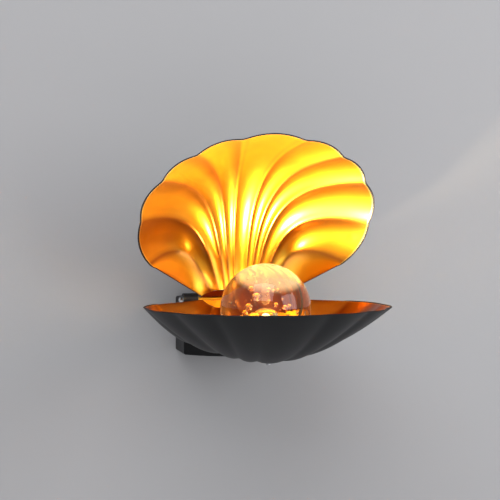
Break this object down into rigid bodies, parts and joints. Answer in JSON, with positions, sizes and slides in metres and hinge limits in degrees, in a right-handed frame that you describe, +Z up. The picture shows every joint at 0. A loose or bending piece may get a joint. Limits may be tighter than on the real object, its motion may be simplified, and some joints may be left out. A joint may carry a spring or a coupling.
{
  "type": "shell wall sconce",
  "caption": "Wall sconce of two fluted scallop shells, black outside and gold inside, hinged open round a lit bubble-glass ball on a small black wall box.",
  "frame": {"origin": "on the wall, midway between the two wall screw holes, in the wall plate's back face", "axes": "+X to the object's right as seen from the room, -Y out of the wall into the room, +Z up"},
  "size_m": [0.2688, 0.3125, 0.2562],
  "materials": {
    "shell_steel": "matt black powder coat outside, hand-laid gold leaf lacquer inside",
    "gold_steel": "gold lacquer",
    "black_steel": "matt black powder coat",
    "chrome": "polished",
    "bubble_glass": "clear, with trapped bubbles",
    "bulb_glass": "frosted",
    "led_core": "warm white, lit",
    "ceramic": "unglazed steatite",
    "brass": "plain",
    "rubber": "silicone",
    "terminal_plastic": "moulded",
    "live_pvc": "insulation",
    "neutral_pvc": "insulation",
    "earth_pvc": "insulation",
    "zinc_steel": "bright zinc plate"
  },
  "bodies": {
    "base": {"barrel_nuts": "zinc_steel", "barrel_screws": "zinc_steel", "block_screws": "zinc_steel", "bulb_base": "ceramic", "bulb_core": "led_core", "bulb_envelope": "bulb_glass", "bulb_pins": "brass", "canopy": "black_steel", "canopy_screws": "black_steel", "cap_nuts": "chrome", "cup_gasket": "rubber", "earth_screw": "zinc_steel", "earth_wire": "earth_pvc", "friction_washers": "zinc_steel", "hinge_barrel_left": "black_steel", "hinge_barrel_right": "black_steel", "hinge_rod": "zinc_steel", "holder_contacts": "brass", "holder_cup": "gold_steel", "holder_screws": "zinc_steel", "lamp_lead": "rubber", "lampholder": "ceramic", "lead_grommet": "rubber", "live_wire": "live_pvc", "lower_end_plate": "gold_steel", "lower_shell": "shell_steel", "neck": "black_steel", "neck_nuts": "zinc_steel", "neck_screws": "zinc_steel", "neutral_wire": "neutral_pvc", "rod_washers": "zinc_steel", "seat_spacer": "zinc_steel", "shell_screws": "zinc_steel", "terminal_block": "terminal_plastic", "terminal_screws": "zinc_steel", "wall_plate": "zinc_steel"},
    "upper": {"upper_shell": "shell_steel", "upper_end_plate": "gold_steel", "hinge_sleeve": "gold_steel"},
    "ball": {"glass_ball": "bubble_glass"}
  },
  "joints": [
    {"name": "upper_shell_tilt", "type": "hinge", "parent": "base", "child": "upper", "pos_m": [0, -0.063, 0.0325], "axis": [1, 0, 0], "range_deg": [-25, 20]},
    {"name": "ball_lift", "type": "slide", "parent": "base", "child": "ball", "axis": [0, 0, 1], "range_m": [0, 0.052]}
  ]
}
